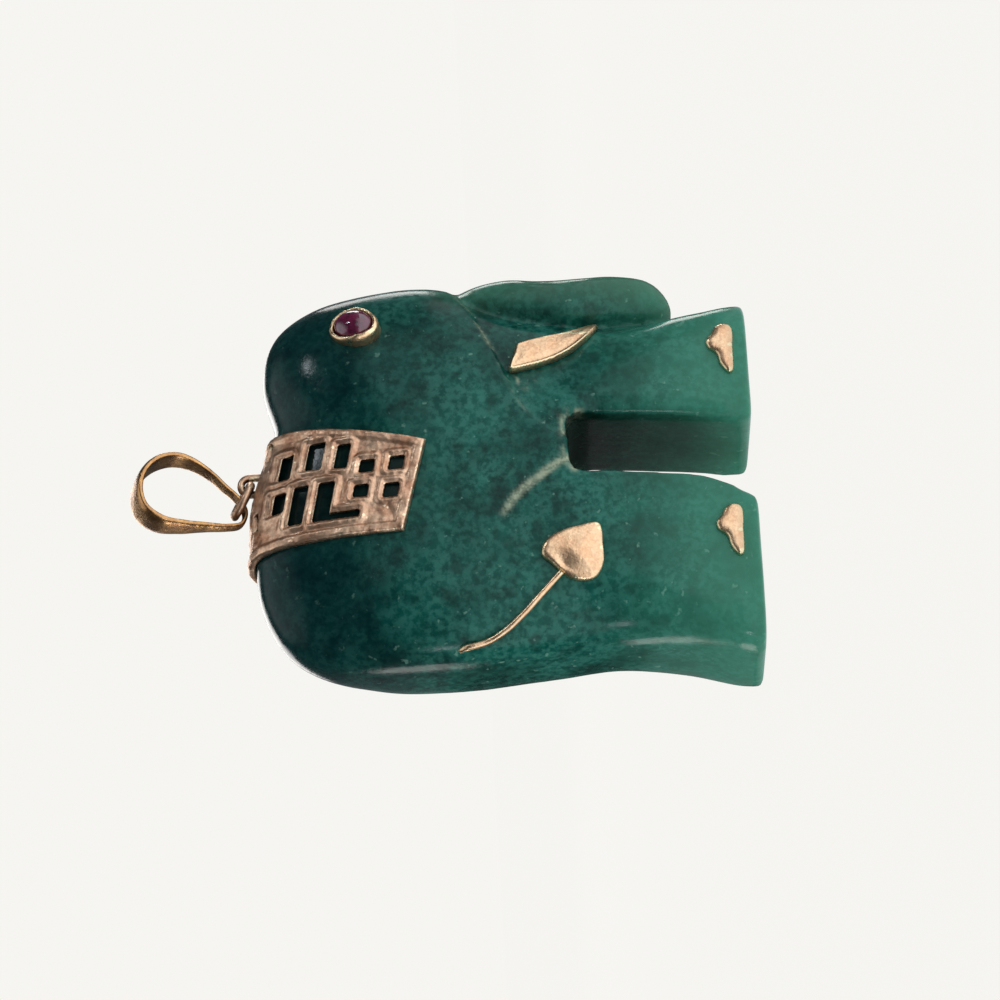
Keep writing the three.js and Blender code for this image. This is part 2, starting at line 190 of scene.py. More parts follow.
lamp("key", (0.42, 0.20, 0.05), (0.14, 0.14), 0.28, (1.0, 0.98, 0.95))
lamp("fill", (-0.46, -0.10, 0.03), (0.10, 0.02), 0.11, (0.88, 0.95, 1.0))
lamp("rim", (-0.36, 0.34, 0.03), (0.14, 0.14), 0.26, (1.0, 0.99, 0.94))
lamp("window", (0.30, -0.30, 0.34), (0.04, 0.06), 0.22, (0.85, 0.93, 1.0))
lamp("rear", (0.10, 0.45, 0.20), (0.3, 0.2), 0.5, (1.0, 0.98, 0.95))

# %% [markdown]
# ## The carving's shape rule
# The jade is a flat cushion: in the side view it has a free outline, and from its thickest point it rounds over to
# that outline like a superellipse, squarer at the feet than at the back. Because every gold piece lies on this
# surface, the rule is written once as a function of the side view, and used both for the stone and for the trims.

# %% Outlines
OUTLINE = [
    (-14.5, -5), (-14.4, -1.5), (-14.1, 1), (-13.2, 5), (-12.9, 9.5), (-13.4, 14.5), (-13.85, 19), (-13.95, 22.5),
    (-13.8, 26.5), (-13.05, 29.95), (-11.3, 32.5), (-8.2, 34.0), (-4.7, 34.35), (-0.8, 34.1), (2.2, 33.2),
    (4.6, 32.65), (8.3, 33.4), (11.5, 32.55), (13.4, 30.2), (14.5, 26.6), (14.9, 22.8), (14.6, 20.5), (12.9, 16.4), (11.6, 11.5),
    (11.1, 7), (11.5, 3.2), (11.95, 0), (12.1, -5), (4.5, -8.5), (-6, -8.5)]
TRUNK = [
    (13.1, 22.2), (14.0, 20.5), (14.75, 18.8), (15.1, 16.8), (14.95, 14.6), (14.9, 12.7), (15.0, 10), (15.0, 7.8),
    (14.5, 5.9), (12.9, 4.9), (11.4, 5.3), (10.8, 7.3), (10.5, 10.5), (10.7, 14), (11.2, 17.5), (12, 20.5)]
CHEEK = [(15.6, 20.9), (14.6, 20.5), (12, 19.05), (9.9, 18.1), (6.6, 16.8), (4.5, 16.1), (2.9, 15.1), (1.6, 13.6),
         (1.0, 11.8), (0.9, 9)]
HEART = np.array((-1.2, 17.5))
TRUNK_HEART = np.array((12.8, 13.2))
HALF, TRUNK_HALF, CHEEK_STEP = 6.0, 4.1, 0.55


def spline(points, count, closed=True):
    """Evenly spaced points on a centripetal Catmull-Rom curve through the given points."""
    p = np.array(points, float)
    if closed:
        p = np.vstack([p[-1], p, p[0], p[1]])
    else:
        p = np.vstack([2 * p[0] - p[1], p, 2 * p[-1] - p[-2]])
    out = []
    for a, b, c, d in zip(p[:-3], p[1:-2], p[2:-1], p[3:]):
        t0 = 0.0
        t1 = t0 + np.sqrt(np.linalg.norm(b - a))
        t2 = t1 + np.sqrt(np.linalg.norm(c - b))
        t3 = t2 + np.sqrt(np.linalg.norm(d - c))
        t = np.linspace(t1, t2, 24, endpoint=False)[:, None]
        ab = (t1 - t) / (t1 - t0) * a + (t - t0) / (t1 - t0) * b
        bc = (t2 - t) / (t2 - t1) * b + (t - t1) / (t2 - t1) * c
        cd = (t3 - t) / (t3 - t2) * c + (t - t2) / (t3 - t2) * d
        abc = (t2 - t) / (t2 - t0) * ab + (t - t0) / (t2 - t0) * bc
        bcd = (t3 - t) / (t3 - t1) * bc + (t - t1) / (t3 - t1) * cd
        out.append((t2 - t) / (t2 - t1) * abc + (t - t1) / (t2 - t1) * bcd)
    line = np.vstack(out + [p[1:2] if closed else p[-2:-1]])
    run = np.concatenate([[0], np.cumsum(np.linalg.norm(np.diff(line, axis=0), axis=1))])
    at = np.linspace(0, run[-1], count, endpoint=not closed)
    return np.stack([np.interp(at, run, line[:, k]) for k in range(line.shape[1])], axis=1)


def smooth(value, low, high):
    t = np.clip((value - low) / (high - low), 0, 1)
    return t * t * (3 - 2 * t)


def to_line(points, line, closed=False):
    """Distance from 2-D points to a polyline, and which side they are on (positive on its right)."""
    line = np.array(line, float)
    if closed:
        line = np.vstack([line, line[0]])
    best = np.full(len(points), 1e9)
    side = np.ones(len(points))
    for a, b in zip(line[:-1], line[1:]):
        along = b - a
        t = np.clip(((points - a) @ along) / (along @ along), 0, 1)
        off = points - a - t[:, None] * along
        d = np.hypot(off[:, 0], off[:, 1])
        s = np.sign(along[0] * off[:, 1] - along[1] * off[:, 0])
        nearer = d < best
        best[nearer], side[nearer] = d[nearer], s[nearer]
    return best, -side


class Cushion:
    """The superellipse slab: thickness as a function of the side view."""

    def __init__(self, outline, heart, half, power):
        self.heart, self.half, self.power = heart, half, power
        self.rim = spline(outline, 1500)
        away = self.rim - heart
        turn = np.arctan2(away[:, 1], away[:, 0])
        order = np.argsort(turn)
        self.turn, self.far, self.edge = turn[order], np.hypot(*away.T)[order], self.rim[order]

    def square(self, x, z):
        low, high, rear = self.power
        return high + (low - high) * (1 - smooth(z, -2, 12)) + rear * smooth(-x, 9, 13) * (1 - smooth(z, 22, 31))

    def depth(self, x, z):
        x, z = np.broadcast_arrays(np.asarray(x, float), np.asarray(z, float))
        turn = np.arctan2(z - self.heart[1], x - self.heart[0])
        far = np.interp(turn, self.turn, self.far, period=2 * math.pi)
        ex = np.interp(turn, self.turn, self.edge[:, 0], period=2 * math.pi)
        ez = np.interp(turn, self.turn, self.edge[:, 1], period=2 * math.pi)
        reach = np.clip(np.hypot(x - self.heart[0], z - self.heart[1]) / far, 0, 1)
        p = self.square(ex, ez)
        return self.half * (1 - reach**p) ** (1 / p)

    def mesh(self, around, across):
        """Closed mesh from one flank's middle over the rim to the other's."""
        rim = spline(self.rim[::10], around)
        p = self.square(rim[:, 0], rim[:, 1])
        verts, faces = [(self.heart[0], -self.half, self.heart[1])], []
        for j in range(1, across):
            lat = math.pi * j / across
            out = math.sin(lat) ** (2 / p)
            y = -np.sign(math.cos(lat)) * abs(math.cos(lat)) ** (2 / p) * self.half
            ring = self.heart + (rim - self.heart) * out[:, None]
            verts.extend(zip(ring[:, 0], y, ring[:, 1]))
        verts.append((self.heart[0], self.half, self.heart[1]))
        first = lambda j: 1 + (j - 1) * around
        for i in range(around):
            k = (i + 1) % around
            faces.append((0, first(1) + k, first(1) + i))
            for j in range(1, across - 1):
                faces.append((first(j) + i, first(j) + k, first(j + 1) + k, first(j + 1) + i))
            last = first(across - 1)
            faces.append((last + i, last + k, len(verts) - 1))
        return np.array(verts), faces


torso = Cushion(OUTLINE, HEART, HALF, (4.4, 2.6, 1.0))
trunk = Cushion(TRUNK, TRUNK_HEART, TRUNK_HALF, (2.3, 2.3, 0))


def cheek_mask(x, z, soft=0.16):
    """1 on the fore leg under the cheek line, 0 on the cheek."""
    d, side = to_line(np.stack([x, z], axis=-1).reshape(-1, 2), CHEEK)
    under = (d * np.where(side < 0, 1.0, -1.0)).reshape(np.shape(x))
    return smooth(under, -soft, soft) * (0.25 * smooth(x, 0.4, 1.2) + 0.75 * smooth(x, 2.2, 6.5))


def flank(x, z):
    """Half thickness of the finished carving at a place of the side view."""
    x, z = np.broadcast_arrays(np.asarray(x, float), np.asarray(z, float))
    return torso.depth(x, z) * (1 - CHEEK_STEP / HALF * cheek_mask(x, z))


print("flank at the tusk, tassel and toenails:", np.round(flank([8, -7.4, 7.6, -6.3], [14, 12.8, 2, 2]), 2))


# %% [markdown]
# Three small helpers finish every piece the same way: one makes a mesh object from millimetre points, one applies
# modifiers for good, and one hands the finished piece to the frame with its body, the solid that it stands for and
# its material.

# %% Object helpers
def mesh_object(name, verts, faces):
    mesh = bpy.data.meshes.new(name)
    mesh.from_pydata([tuple(v) for v in np.asarray(verts) * MM], [], [tuple(int(i) for i in f) for f in faces])
    bm = bmesh.new()
    bm.from_mesh(mesh)
    bmesh.ops.remove_doubles(bm, verts=bm.verts, dist=1e-8)
    bmesh.ops.recalc_face_normals(bm, faces=bm.faces)
    if bm.calc_volume(signed=True) < 0:
        bmesh.ops.reverse_faces(bm, faces=bm.faces)
    bm.to_mesh(mesh)
    bm.free()
    mesh.shade_smooth()
    made = bpy.data.objects.new(name, mesh)
    scene.collection.objects.link(made)
    return made


def applied(obj):
    """Replaces the object's mesh by its evaluated one and drops the modifiers."""
    bpy.context.view_layer.update()
    graph = bpy.context.evaluated_depsgraph_get()
    mesh = bpy.data.meshes.new_from_object(obj.evaluated_get(graph))
    obj.modifiers.clear()
    obj.data = mesh
    return obj


def remesh(obj, voxel):
    modifier = obj.modifiers.new("remesh", "REMESH")
    modifier.mode, modifier.voxel_size, modifier.use_smooth_shade = "VOXEL", voxel * MM, True
    return applied(obj)


def subtract(obj, *cutters):
    for cutter in cutters:
        modifier = obj.modifiers.new("cut", "BOOLEAN")
        modifier.operation, modifier.solver, modifier.object = "DIFFERENCE", "MANIFOLD", cutter
    applied(obj)
    for cutter in cutters:
        bpy.data.objects.remove(cutter)
    return obj


def points_of(obj):
    co = np.empty(len(obj.data.vertices) * 3, np.float32)
    obj.data.vertices.foreach_get("co", co)
    return co.reshape(-1, 3).astype(float) / MM


def normals_of(obj):
    n = np.empty(len(obj.data.vertices) * 3, np.float32)
    obj.data.vertices.foreach_get("normal", n)
    return n.reshape(-1, 3).astype(float)


def move_points(obj, points):
    obj.data.vertices.foreach_set("co", (points * MM).astype(np.float32).ravel())
    obj.data.update()


def relax(obj, share, rounds):
    """Lets each point drift toward its neighbours' middle, by its own share, like a soft polish."""
    p = points_of(obj)
    ends = np.empty(len(obj.data.edges) * 2, np.int32)
    obj.data.edges.foreach_get("vertices", ends)
    a, b = ends.reshape(-1, 2).T
    near = (share[a] > 0) | (share[b] > 0)
    a, b = a[near], b[near]
    count = np.maximum(np.bincount(np.r_[a, b], minlength=len(p)), 1)
    for _ in range(rounds):
        sums = [np.bincount(np.r_[a, b], np.r_[p[b, k], p[a, k]], len(p)) for k in range(3)]
        p += (np.stack(sums, 1) / count[:, None] - p) * share[:, None]
    move_points(obj, p)


def prism(name, outline, low, high):
    """A closed block with the given side view between two values of y."""
    n = len(outline)
    verts = [(x, low, z) for x, z in outline] + [(x, high, z) for x, z in outline]
    faces = [tuple(range(n)), tuple(range(n, 2 * n))[::-1]]
    faces += [(i, (i + 1) % n, n + (i + 1) % n, n + i) for i in range(n)]
    return mesh_object(name, verts, faces)


def ripple(points, scale, seed):
    """Smooth noise between -1 and 1 at each point, in millimetres per feature."""
    shifted = np.asarray(points) / scale + (seed, -seed, 2 * seed)
    return np.array([noise.noise(Vector(q)) for q in shifted])


def place(piece, body, material, *nodes):
    piece.data.materials.clear()
    piece.data.materials.append(material)
    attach(piece, body)
    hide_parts(*nodes)
    print(piece.name, "on", body, "-", len(piece.data.polygons), "faces")


def attribute(obj, name, values):
    made = obj.data.attributes.new(name, "FLOAT", "POINT")
    made.data.foreach_set("value", np.asarray(values, np.float32))


# %% [markdown]
# ## Effects shared by several finishes
# Three effects turn up in more than one material, so each is a shader group with named inputs. Grain breaks up a
# colour with two sizes of noise. Scratches are thin broken lines left by wear. Grime gathers in recesses that an
# occlusion node finds, and spares the edges; the same group marks sharp edges, which the gold paints lighter,
# partly as rubbed wear and partly as a painted highlight.

# %% Shader groups
def group(name, inputs, outputs):
    made = bpy.data.node_groups.new(name, "ShaderNodeTree")
    for label, value in inputs.items():
        made.interface.new_socket(label, in_out="INPUT", socket_type="NodeSocketFloat").default_value = value
    for label in outputs:
        made.interface.new_socket(label, in_out="OUTPUT", socket_type="NodeSocketFloat")
    return made, made.nodes.new("NodeGroupInput").outputs, made.nodes.new("NodeGroupOutput").inputs


def object_mm(tree, scale=1.0, offset=0.0):
    where = node(tree, "ShaderNodeTexCoord").outputs["Object"]
    return node(tree, "ShaderNodeMapping", {0: where, 1: (offset,) * 3, 3: (scale / MM,) * 3}).outputs[0]


grain, put, out = group("grain", {"Size": 1.0, "Detail": 4.0, "Contrast": 0.5}, ["Value"])
size = maths(grain, "DIVIDE", 1.0, put["Size"])
fleck = node(grain, "ShaderNodeTexNoise", {"Vector": object_mm(grain), "Scale": size, "Detail": put["Detail"],
                                           "Roughness": 0.62}).outputs["Fac"]
low = maths(grain, "SUBTRACT", 0.5, maths(grain, "MULTIPLY", maths(grain, "SUBTRACT", 1.02, put["Contrast"]), 0.35))
high = maths(grain, "ADD", 0.5, maths(grain, "MULTIPLY", maths(grain, "SUBTRACT", 1.02, put["Contrast"]), 0.35))
grain.links.new(ramp(grain, fleck, low, high), out["Value"])

scratches, put, out = group("scratches", {"Length": 2.0, "Amount": 0.5, "Seed": 0.0}, ["Mask"])
masks = []
for turn, squeeze in ((0.35, 14.0), (1.25, 17.0), (2.3, 12.0)):
    where = node(scratches, "ShaderNodeMapping", {0: object_mm(scratches), 2: (0.15, turn, 0.2),
                                                  3: (1.0, squeeze, squeeze)}).outputs[0]
    lines = node(scratches, "ShaderNodeTexNoise", {"Vector": where, "W": put["Seed"], "Detail": 1.0, "Scale":
                 maths(scratches, "DIVIDE", 1.0, put["Length"])}, noise_dimensions="4D").outputs["Fac"]
    masks.append(ramp(scratches, lines, maths(scratches, "MULTIPLY_ADD", put["Amount"], -0.2, 0.86), 0.9))
scratches.links.new(maths(scratches, "MAXIMUM", maths(scratches, "MAXIMUM", *masks[:2]), masks[2]), out["Mask"])

# Recess gives grime in hollows; Edge marks sharp edges for rubbed wear and a painted highlight.
grime_and_sheen, put, out = group("grime_and_sheen", {"Reach": 0.6, "Edge": 0.5}, ["Recess", "Edge"])
reach = maths(grime_and_sheen, "MULTIPLY", put["Reach"], MM)
hollow = node(grime_and_sheen, "ShaderNodeAmbientOcclusion", {"Distance": reach}, samples=8)
grime_and_sheen.links.new(ramp(grime_and_sheen, hollow.outputs["AO"], 0.45, 0.95, 1.0, 0.0), out["Recess"])
bump = node(grime_and_sheen, "ShaderNodeNewGeometry").outputs["Pointiness"]
grime_and_sheen.links.new(maths(grime_and_sheen, "MULTIPLY", ramp(grime_and_sheen, bump, 0.51, 0.60), put["Edge"]), out["Edge"])


def use(tree, effect, **values):
    made = node(tree, "ShaderNodeGroup")
    made.node_tree = effect
    for key, value in values.items():
        if isinstance(value, bpy.types.NodeSocket):
            tree.links.new(value, made.inputs[key])
        else:
            made.inputs[key].default_value = value
    return made.outputs


def material(name, **plain):
    made = bpy.data.materials.new(name)
    made.use_nodes = True
    tree = made.node_tree
    shader = tree.nodes["Principled BSDF"]
    for key, value in plain.items():
        shader.inputs[key.replace("_", " ")].default_value = value
    return made, tree, shader


def bumped(tree, height, distance, strength=1.0, before=None):
    inputs = {"Height": height, "Distance": distance * MM, "Strength": strength}
    if before is not None:
        inputs["Normal"] = before
    return node(tree, "ShaderNodeBump", inputs).outputs[0]


# %% [markdown]
# ## Finishes
# Jade is a felted mass of fibres: from close by it is cloudy, with darker pools, pale flecks and a few white
# scratches where the polish has broken. The colour runs from blue-black at the back to sea green in the legs;
# this run is painted light, with painted shade over the back and a painted glow in the legs and the front of the
# trunk.
# Painted shade also darkens the stone under the blanket and on the slot wall.

# %% Jade
jade, tree, shader = material("polished_jade", Roughness=0.2, IOR=1.5, Specular_IOR_Level=0.16)
where = node(tree, "ShaderNodeSeparateXYZ", {0: object_mm(tree)}).outputs
clouds = use(tree, grain, Size=6.0, Detail=3.0, Contrast=0.65)["Value"]
mottle = use(tree, grain, Size=1.9, Detail=5.0, Contrast=0.7)["Value"]
fibres = use(tree, grain, Size=0.50, Detail=5.0, Contrast=0.7)["Value"]
colour = blended(tree, clouds, linear(2, 62, 56), linear(8, 92, 82))
mottle_share = maths(tree, "MULTIPLY", mottle, maths(tree, "MULTIPLY_ADD", clouds, 0.45, 0.30))
colour = blended(tree, mottle_share, colour, linear(24, 112, 100))
fibre_share = maths(tree, "MULTIPLY", fibres, maths(tree, "MULTIPLY_ADD", clouds, 0.34, 0.16))
colour = blended(tree, fibre_share, colour, linear(80, 160, 146))
shifted = object_mm(tree, 1.0, 40.0)
dark_cloud = node(tree, "ShaderNodeTexNoise", {"Vector": shifted, "Scale": 0.55, "Detail": 3.0}).outputs[0]
pools = ramp(tree, dark_cloud, 0.54, 0.70)
colour = blended(tree, maths(tree, "MULTIPLY", pools, 0.6), colour, linear(2, 40, 38))
pale_fleck = node(tree, "ShaderNodeTexNoise", {"Vector": object_mm(tree), "Scale": 1.5, "Detail": 3.0}).outputs[0]
spots = ramp(tree, pale_fleck, 0.66, 0.74)
colour = blended(tree, maths(tree, "MULTIPLY", spots, 0.6), colour, linear(140, 196, 178))
# Painted glow: the legs are lightened toward the soles, as if light shone through the thin stone.
feet_glow = ramp(tree, where[2], 13.0, 0.0)
colour = blended(tree, maths(tree, "MULTIPLY", feet_glow, 0.55), colour, linear(96, 186, 156))
# Painted light: the front of the trunk is painted paler, as if lit from the front.
snout_light = maths(tree, "MULTIPLY", ramp(tree, where[0], 10.8, 14.2), ramp(tree, where[2], 24.0, 19.0))
colour = blended(tree, maths(tree, "MULTIPLY", snout_light, 0.5), colour, linear(96, 150, 124))
# Painted shade: the stone is darkened toward the top of the back, where less light falls.
top_shade = ramp(tree, where[2], 18.0, 32.0)
colour = blended(tree, maths(tree, "MULTIPLY", top_shade, 0.80), colour, linear(6, 34, 42))
# Painted shade with some dirt: the stone under the blanket is darkened almost to black.
under = node(tree, "ShaderNodeAttribute", attribute_name="shade_and_dirt_under_blanket").outputs["Fac"]
colour = blended(tree, maths(tree, "MULTIPLY", under, 0.75), colour, linear(6, 16, 16))
cut = node(tree, "ShaderNodeAttribute", attribute_name="worked").outputs["Fac"]
broken = maths(tree, "MULTIPLY", cut, ramp(tree, fibres, 0.1, 0.7, 0.55, 1.0))
colour = blended(tree, broken, colour, linear(200, 214, 188))
# Painted shade: the slot wall is darkened.
slot_shade = node(tree, "ShaderNodeAttribute", attribute_name="painted_slot_shade").outputs["Fac"]
colour = blended(tree, slot_shade, colour, linear(14, 34, 22))
marks = maths(tree, "MULTIPLY", use(tree, scratches, Length=1.6, Amount=0.45)["Mask"], 0.5)
colour = blended(tree, marks, colour, linear(150, 190, 190))
tree.links.new(colour, shader.inputs["Base Color"])
rough = maths(tree, "ADD", maths(tree, "MULTIPLY_ADD", mottle, 0.06, 0.13), maths(tree, "MULTIPLY", broken, 0.4))
tree.links.new(rough, shader.inputs["Roughness"])
relief = maths(tree, "SUBTRACT", maths(tree, "MULTIPLY", fibres, 0.2), marks)
tree.links.new(bumped(tree, relief, 0.012), shader.inputs["Normal"])

# %% [markdown]
# The mounts are one alloy in two states. The trims, tusk and bail are rubbed bright by wear, a warm rose gold with
# a soft hand-finished ripple. The blanket, ring and staple lie in the folds of clothes and keep a brown skin with
# bright edges. On every finish the sharp edges are painted lighter, partly rubbed wear and partly a painted
# highlight.


# %% Gold
def gold_finish(name, bright, dull, patina, rough, grime_share, edge):
    made, tree, shader = material(name, Metallic=1.0)
    ripples = use(tree, grain, Size=1.1, Detail=3.0, Contrast=0.4)["Value"]
    fine = use(tree, grain, Size=0.16, Detail=3.0, Contrast=0.3)["Value"]
    grime_and_edge_light = use(tree, grime_and_sheen, Reach=0.7, Edge=edge)
    marks = use(tree, scratches, Length=0.8, Amount=0.5)["Mask"]
    colour = blended(tree, ripples, dull, bright)
    colour = blended(tree, maths(tree, "MULTIPLY", fine, 0.25), colour, patina)
    colour = blended(tree, maths(tree, "MULTIPLY", grime_and_edge_light["Recess"], grime_share), colour, patina)
    # Sharp edges painted lighter: partly rubbed wear, partly a painted highlight.
    colour = blended(tree, grime_and_edge_light["Edge"], colour, tuple(min(1.0, c * 1.25) for c in bright))
    tree.links.new(colour, shader.inputs["Base Color"])
    value = maths(tree, "MULTIPLY_ADD", fine, 0.14, rough)
    value = maths(tree, "ADD", value, maths(tree, "MULTIPLY", grime_and_edge_light["Recess"], 0.18))
    value = maths(tree, "SUBTRACT", value, maths(tree, "MULTIPLY", grime_and_edge_light["Edge"], 0.1))
    tree.links.new(value, shader.inputs["Roughness"])
    height = maths(tree, "ADD", maths(tree, "MULTIPLY", ripples, 0.7), maths(tree, "MULTIPLY", fine, 0.12))
    height = maths(tree, "SUBTRACT", height, maths(tree, "MULTIPLY", marks, 0.1))
    tree.links.new(bumped(tree, height, 0.03), shader.inputs["Normal"])
    return made


rose_gold = gold_finish("rubbed_rose_gold", linear(255, 220, 180), linear(244, 196, 154), linear(150, 104, 74),
                        rough=0.26, grime_share=0.7, edge=0.8)
yellow_gold = gold_finish("rubbed_yellow_gold", linear(226, 176, 116), linear(164, 118, 84), linear(76, 50, 36),
                          rough=0.24, grime_share=0.8, edge=0.6)
brown_gold = gold_finish("brown_cast_gold", linear(250, 212, 180), linear(200, 152, 122), linear(60, 42, 32),
                         rough=0.32, grime_share=0.95, edge=1.0)

# %% [markdown]
# The eyes are small red cabochons. The stone is dark because it is thick and set in a closed cup, so most of its
# colour sits in the body of the glassy dome, with silky inclusions near the surface.

# %% Ruby
ruby, tree, shader = material("ruby_glass", Roughness=0.07, IOR=1.76, Coat_Weight=0.6, Coat_Roughness=0.03)
silk = use(tree, grain, Size=0.55, Detail=4.0, Contrast=0.4)["Value"]
heart_red = blended(tree, silk, linear(66, 10, 42), linear(132, 34, 80))
tree.links.new(heart_red, shader.inputs["Base Color"])
tree.links.new(bumped(tree, silk, 0.01), shader.inputs["Normal"])

# %% [markdown]
# ## The stone
# The carver sawed the outline, rounded it, cut the slot between the legs and then polished everything, which left
# no truly sharp edge. The same order works here: torso and trunk are joined by a voxel remesh, and the slot is cut
# by a block that flares at both faces, widest along the fore leg, so that the cut itself leaves a rounded edge. A
# second remesh closes the surface. Then points are pushed for the cheek step, the soles and the slot's edge are
# relaxed, and the engraved line and the chips along the top of the slot are carved.

# %% Body
VOXEL = 0.205
SLOT_REAR, SLOT_FRONT, SLOT_TOP = -1.35, 3.1, 12.3
verts, faces = torso.mesh(220, 72)
more, extra = trunk.mesh(120, 48)
faces = faces + [tuple(i + len(verts) for i in f) for f in extra]
jade_body = mesh_object("carved_jade", np.vstack([verts, more]), faces)
remesh(jade_body, VOXEL)
r, f, t = SLOT_REAR, SLOT_FRONT, SLOT_TOP
slot_cut = spline([(r - 2.3, -1.5), (r - 1.9, 0.6), (r - 1.3, 1.9), (r - 0.6, 3.8), (r - 0.3, 6.5), (r, 10),
                   (r + 0.15, t - 0.3), (r + 0.7, t + 0.25), (1, t + 0.4), (f - 0.4, t + 0.3), (f - 0.02, t - 0.4),
                   (f - 0.1, 9.5), (f - 0.4, 5), (f - 0.9, 0.5), (f - 1.0, -1.5)], 90, closed=False)
tangent = np.gradient(slot_cut, axis=0)
outward = np.stack([-tangent[:, 1], tangent[:, 0]], 1) / np.linalg.norm(tangent, axis=1)[:, None]
fillet = 0.35 + 0.85 * smooth(slot_cut[:, 0], 1.8, 2.6) * (1 - smooth(slot_cut[:, 1], 10.8, 12.2))
face = flank(*slot_cut.T) + 0.02
quarter = np.linspace(0, math.pi / 2, 7)
half_rings = [(slot_cut + outward * (fillet * (1 - math.sin(a)))[:, None], face - fillet * (1 - math.cos(a)))
              for a in quarter]
half_rings = [(half_rings[0][0], np.full(len(slot_cut), 9.0))] + half_rings
rings = [np.stack([w[:, 0], -level, w[:, 1]], 1) for w, level in half_rings]
rings += [np.stack([w[:, 0], level, w[:, 1]], 1) for w, level in half_rings[::-1]]
verts = np.vstack(rings)
k = len(slot_cut)
faces = [tuple(range(k))[::-1], tuple(range(len(verts) - k, len(verts)))]
faces += [(j * k + i, j * k + (i + 1) % k, (j + 1) * k + (i + 1) % k, (j + 1) * k + i)
          for j in range(len(rings) - 1) for i in range(k)]
slot_block = mesh_object("slot_cutter", verts, faces)
ground_block = prism("ground_cutter", [(-20, -12), (20, -12), (20, 0), (-20, 0)], -10, 10)
subtract(jade_body, slot_block, ground_block)
remesh(jade_body, VOXEL)

# %% Cheek step and polished edges
p = points_of(jade_body)
flat = p[:, [0, 2]]
p[:, 1] *= 1 - CHEEK_STEP / HALF * cheek_mask(*flat.T)
slot_edge, _ = to_line(flat, slot_cut)
move_points(jade_body, p)
skin = flank(*flat.T) - np.abs(p[:, 1])
along_slot = (1 - smooth(slot_edge, 0.5, 1.4)) * (1 - smooth(skin, 1.2, 2.2)) * (1 - smooth(p[:, 2], 11.8, 12.8))
soles = 1 - smooth(p[:, 2], 0.8, 1.7)
relax(jade_body, 0.4 * along_slot, 8)
relax(jade_body, 0.5 * soles, 34)

# %% Carved detail
p = points_of(jade_body)
x, y, z = p.T
n = normals_of(jade_body)

GROOVE = spline([(-4.30, 17.45), (-3.24, 16.64), (-2.61, 16.0), (-1.36, 14.4), (-0.73, 13.5), (-0.3, 12.6)], 30,
                closed=False)
flat = np.stack([x, z], axis=1)
d, _ = to_line(flat, GROOVE)
run = smooth(flat[:, 1], 12.2, 13.2) * (1 - smooth(flat[:, 1], 16.6, 17.6))
groove = np.exp(-(d / 0.22) ** 2) * (0.15 + 0.85 * run) * (np.abs(n[:, 1]) > 0.6)
p[:, 1] -= np.sign(p[:, 1]) * 0.20 * groove

slot_edge, _ = to_line(flat, slot_cut)
near_top = smooth(z, 11.2, 12.4) * (1 - smooth(z, 13.4, 14.2)) * smooth(x, -2.0, -1.0) * (1 - smooth(x, 3.2, 4.2))
ragged = ripple(p, 0.55, 3.7)
corner = (np.abs(y) > 4.2) * np.exp(-(slot_edge / 0.38) ** 2) * near_top
chips = corner * smooth(ragged, -0.25, 0.35)
p -= n * (0.16 * chips)[:, None]

hollow, _ = to_line(flat, [(12.9, 19.6), (11.9, 17.4), (11.15, 15.3), (10.75, 12.5), (10.55, 9.4), (10.7, 5.6)])
valley = np.exp(-(hollow / 0.55) ** 2) * (np.abs(n[:, 1]) > 0.3) * smooth(z, 5.0, 7.0) * (1 - smooth(z, 18.2, 19.8))
p[:, 1] -= np.sign(p[:, 1]) * 0.25 * valley

hand = 0.045 * ripple(p, 5.0, 1.3) + 0.018 * ripple(p, 1.9, 8.1)
lift = smooth(z, 0.15, 1.2)
p += n * (hand * lift)[:, None]
p[:, 2] = np.maximum(p[:, 2], 0)
move_points(jade_body, p)
d, _ = to_line(flat, CHEEK[1:7])
patchy = smooth(ripple(p, 1.1, 6.6), -0.1, 0.4)
worn_line = 0.55 * np.exp(-(d / 0.13) ** 2) * (np.abs(n[:, 1]) > 0.5) * patchy
nicks = 0.9 * np.exp(-(((x - 6.2) / 0.9) ** 2 + ((z - 15.6) / 0.7) ** 2)) * smooth(ripple(p, 0.42, 9.9), 0.15, 0.4)
attribute(jade_body, "worked", np.clip(groove * 1.5 + chips * 1.4 + worn_line + nicks * (y < 0), 0, 1))
slot_edge, _ = to_line(flat, slot_cut)
# The blanket's footprint, where the stone gets painted shade and some dirt.
hem, front = 24.1 - 0.27 * (x + 5.2), 1.4 + 0.2 * (z - 22.3)
blanket_shade_and_dirt = smooth(z, hem, hem + 0.4) * smooth(x, -5.2, -4.9) * (1 - smooth(x, front - 0.4, front))
attribute(jade_body, "shade_and_dirt_under_blanket", blanket_shade_and_dirt)
# Painted shade on the slot wall, stronger toward the top of the slot.
wall = (np.abs(n[:, 1]) < 0.45) * (1 - smooth(slot_edge, 0.25, 0.7)) * smooth(z, 0.6, 5.0)
attribute(jade_body, "painted_slot_shade", wall * (0.45 + 0.4 * smooth(z, 8, 12)))
place(jade_body, "pendant", jade, "jade_body")

# %% [markdown]
# ## Gold on the flank
# Each trim is a little plate cut to an outline, domed on its face, and cemented to the curved stone. A triangulated
# fill of the outline, with extra points inside, can follow both shapes at once: the distance to the outline gives
# the dome, and the shape rule of the carving gives the seat.


# %% Plates
def inside(points, outline):
    x, z = points.T
    hit = np.zeros(len(points), bool)
    for (ax, az_), (bx, bz) in zip(outline, np.roll(outline, -1, axis=0)):
        crosses = (az_ > z) != (bz > z)
        with np.errstate(divide="ignore", invalid="ignore"):
            hit ^= crosses & (x < (bx - ax) * (z - az_) / (bz - az_) + ax)
    return hit


